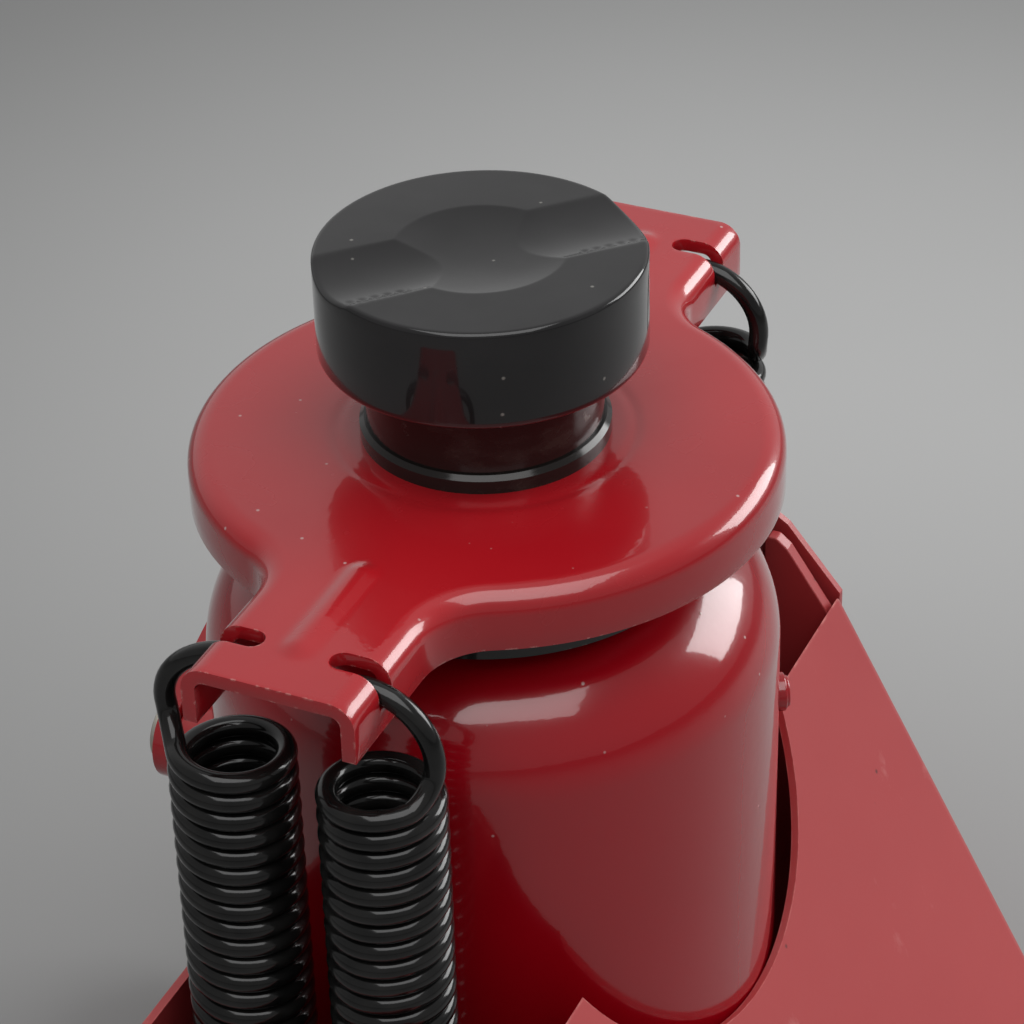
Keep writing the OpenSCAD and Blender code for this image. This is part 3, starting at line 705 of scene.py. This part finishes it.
def cut_hook_slots(plate):
    """Cuts the four slots that the spring hooks come up through, over the bend of each arm."""
    verts, faces = [], []
    low, high = PLATE_TOP - SLOT_DROP, PLATE_TOP + SLOT_CLEAR
    for side in (1, -1):
        for end in (1, -1):
            inner = [(math.cos(a) * SLOT_W / 2, SLOT_INNER_Y - math.sin(a) * SLOT_W / 2)
                     for a in (math.pi * i / 12 for i in range(13))]
            outline = inner + [(-SLOT_W / 2, SLOT_OPEN_Y), (SLOT_W / 2, SLOT_OPEN_Y)]
            base = len(verts)
            count = len(outline)
            for z in (low, high):
                verts += [(side * (SPRING_X + x), end * y, z) for x, y in outline]
            faces.append(tuple(range(base, base + count)))
            faces.append(tuple(reversed(range(base + count, base + 2 * count))))
            for i in range(count):
                j = (i + 1) % count
                faces.append((base + i, base + count + i, base + count + j, base + j))
    cutter = make_object("slot_cutter", verts, faces)
    cut = plate.modifiers.new("slots", "BOOLEAN")
    cut.operation = "DIFFERENCE"
    cut.solver = "EXACT"
    cut.object = cutter
    apply_modifiers(plate)
    bpy.data.objects.remove(cutter)


def round_edges(obj, width, angle):
    """Rounds a mesh's sharp edges and shades it smooth."""
    bevel = obj.modifiers.new("bevel", "BEVEL")
    bevel.width = width * MM
    bevel.segments = 3
    bevel.limit_method = "ANGLE"
    bevel.angle_limit = math.radians(angle)
    apply_modifiers(obj)
    obj.data.shade_smooth()
    obj.data.set_sharp_from_angle(angle=math.radians(50))


make_spring_plate()


# ---- return springs ----

HOOK_R = 14.5
HOOK_Y = -2.7
HOOK_START = -8
HOOK_TURN = 122
HOOK_STEPS = 23
HOOK_RISE = 6.5
HOOK_SINK = 1.0
HOOK_TUCK = 0.75
HOOK_HIGH = spring_high.z - WIRE_R - HOOK_R - HOOK_SINK
HOOK_LOW = spring_low.z + WIRE_R + HOOK_R
COIL_LOW = HOOK_LOW + HOOK_RISE
COIL_HIGH = HOOK_HIGH - HOOK_RISE
TURNS = 31
LEAD = math.radians(36)
STEPS_PER_TURN = 48


def bridge(p, p_dir, q, q_dir, steps):
    """Points of a smooth curve that leaves p along p_dir and reaches q along q_dir."""
    reach = (q - p).length * 0.85
    made = []
    for i in range(1, steps):
        t = i / steps
        h0, h1 = 2 * t ** 3 - 3 * t ** 2 + 1, t ** 3 - 2 * t ** 2 + t
        h2, h3 = -2 * t ** 3 + 3 * t ** 2, t ** 3 - t ** 2
        made.append(p * h0 + p_dir * (reach * h1) + q * h2 + q_dir * (reach * h3))
    return made


def hook(middle, up, bulge):
    """Points of a hook of wire over (or under) its pin, from the coil's side on."""
    made = []
    for i in range(HOOK_STEPS + 1):
        a = math.radians(HOOK_START + (HOOK_TURN - HOOK_START) * i / HOOK_STEPS)
        reach = (HOOK_R + bulge * max(math.cos(a), 0.0)) * math.cos(a)
        if reach < 0:
            reach *= HOOK_TUCK
        made.append(Vector((0, HOOK_Y + reach, middle + up * HOOK_R * math.sin(a))))
    return made


def spring_path(side, end, bulge):
    """Centre line of one spring: hook, close coils, hook; end is +1 at the rear."""
    low, high = COIL_LOW + WIRE_R, COIL_HIGH - WIRE_R
    first, last = math.pi / 2 + LEAD, math.pi / 2 - LEAD + TAU * TURNS
    pitch = (high - low) / (last - first)

    def on_coil(a):
        return Vector((COIL_R * math.cos(a), COIL_R * math.sin(a), low + (a - first) * pitch))

    def along_coil(a):
        return Vector((-math.sin(a), math.cos(a), 0.06)).normalized()

    count = int((last - first) / TAU * STEPS_PER_TURN)
    coil = [on_coil(first + (last - first) * i / count) for i in range(count + 1)]
    top_hook = hook(HOOK_HIGH, 1, bulge)
    low_hook = hook(HOOK_LOW, -1, 0.0)
    up_dir = (top_hook[1] - top_hook[0]).normalized()
    down_dir = (low_hook[1] - low_hook[0]).normalized()
    rise = bridge(coil[-1], along_coil(last), top_hook[0], up_dir, 14)
    fall = bridge(coil[0], -along_coil(first), low_hook[0], down_dir, 14)
    path = list(reversed(low_hook)) + list(reversed(fall)) + coil + rise + top_hook
    return [Vector((side * SPRING_X + side * p.x, end * (SPRING_Y + p.y), p.z)) for p in path]


def make_springs():
    for side_name, side in (("right", 1), ("left", -1)):
        for end_name, end, bulge in (("rear", 1, 0.3), ("front", -1, 2.6)):
            node = f"spring_{side_name}_{end_name}"
            spring = sweep(f"return_{node}", spring_path(side, end, bulge), WIRE_R)
            dress(spring, "spring_black")
            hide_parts(node)
            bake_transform(spring)


make_springs()


# ---- CAD nodes that stay: rounded edges and finishes ----

slots = {p["node"]: p["material_slot"] for p in frame["record"]["subparts"]}
soft_edges = {
    "housing": 0.35, "housing_side_right": 0.35, "housing_side_left": 0.35,
    "inner_plate_right": 0.4, "inner_plate_left": 0.4, "base_casting": 1.2,
    "spring_anchor_bolts": 0.5, "housing_bolts": 0.5, "pump_body": 0.9, "lever_post": 0.8,
    "handle_socket": 0.6, "collar_ring": 0.3, "head_nut": 0.8, "filler_plug": 0.7,
    "release_valve": 0.6, "valve_gland": 0.5, "overload_plug": 0.5, "air_inlet_fitting": 0.4,
    "air_motor_body": 0.6, "air_motor_cap": 0.5, "air_cap_screws": 0.3, "pump_plunger": 0.4,
    "plunger_pin": 0.4, "lever_pivot_pin": 0.4, "plate_clip": 0.3,
}
for node_name, obj in nodes.items():
    if obj.hide_render:
        continue
    dress(obj, slots[node_name])
    if node_name in soft_edges:
        soften_cad(node_name, soft_edges[node_name])


# ---- floor, light and camera ----

WORLD_DIM = 0.28
WORLD_BRIGHT = 0.50
FLOOR_HALF = 7.0


def make_floor():
    verts = [(x * FLOOR_HALF, y * FLOOR_HALF, 0.0) for x, y in ((-1, -1), (1, -1), (1, 1), (-1, 1))]
    mesh = bpy.data.meshes.new("floor_with_painted_light_pool")
    mesh.from_pydata(verts, [], [(0, 1, 2, 3)])
    floor = bpy.data.objects.new("floor_with_painted_light_pool", mesh)
    scene.collection.objects.link(floor)
    mesh.materials.append(floor_with_painted_light_pool())


def make_world():
    """A dim soft studio with one broad bright side, behind and to the left of the view."""
    world = bpy.data.worlds.new("studio")
    scene.world = world
    world.use_nodes = True
    tree = world.node_tree
    back = tree.nodes["Background"]
    place = tree.nodes.new("ShaderNodeTexCoord")
    facing = tree.nodes.new("ShaderNodeVectorMath")
    facing.operation = "DOT_PRODUCT"
    facing.inputs[1].default_value = Vector((-0.78, -0.36, 0.52)).normalized()
    glow = tree.nodes.new("ShaderNodeMapRange")
    glow.interpolation_type = "SMOOTHSTEP"
    glow.inputs["From Min"].default_value = 0.25
    glow.inputs["From Max"].default_value = 0.85
    glow.inputs["To Min"].default_value = WORLD_DIM
    glow.inputs["To Max"].default_value = WORLD_BRIGHT
    tree.links.new(place.outputs["Generated"], facing.inputs[0])
    tree.links.new(facing.outputs["Value"], glow.inputs["Value"])
    tree.links.new(glow.outputs["Result"], back.inputs["Strength"])
    back.inputs["Color"].default_value = (1.0, 1.0, 1.0, 1.0)


def add_softbox(name, azimuth, elevation, distance, size, power, aim=(0, 0, 0.15)):
    """A rectangular soft light, placed by azimuth from +X and elevation, in degrees."""
    a, e = math.radians(azimuth), math.radians(elevation)
    way = Vector((math.cos(a) * math.cos(e), math.sin(a) * math.cos(e), math.sin(e)))
    data = bpy.data.lights.new(name, "AREA")
    data.shape = "RECTANGLE"
    data.size, data.size_y = size
    data.energy = power
    light = bpy.data.objects.new(name, data)
    scene.collection.objects.link(light)
    light.location = Vector(aim) + way * distance
    light.rotation_mode = "QUATERNION"
    light.rotation_quaternion = (-way).to_track_quat("-Z", "Y")
    return light


def make_camera():
    """The photograph's view: high from the right, a long lens, rolled by under two degrees."""
    data = bpy.data.cameras.new("camera")
    camera = bpy.data.objects.new("camera", data)
    scene.collection.objects.link(camera)
    scene.camera = camera
    data.sensor_width = 36
    data.lens = 121.11
    forward = Vector((-0.7531, -0.3548, -0.5540)).normalized()
    roll = math.radians(-1.75)
    level = forward.cross(Vector((0, 0, 1))).normalized()
    upright = level.cross(forward)
    across = level * math.cos(roll) + upright * math.sin(roll)
    up = -level * math.sin(roll) + upright * math.cos(roll)
    turn = Matrix((across, up, -forward)).transposed()
    camera.rotation_mode = "QUATERNION"
    camera.rotation_quaternion = turn.to_quaternion()
    camera.location = (0.5600, 0.2693, 0.6280)
    data.clip_start, data.clip_end = 0.01, 50


make_floor()
make_world()
add_softbox("side_softbox", 138, 24, 1.0, (0.60, 0.46), 5.6)
add_softbox("top_softbox", 30, 68, 1.3, (1.2, 1.2), 11)
make_camera()
scene.view_settings.view_transform = "Standard"
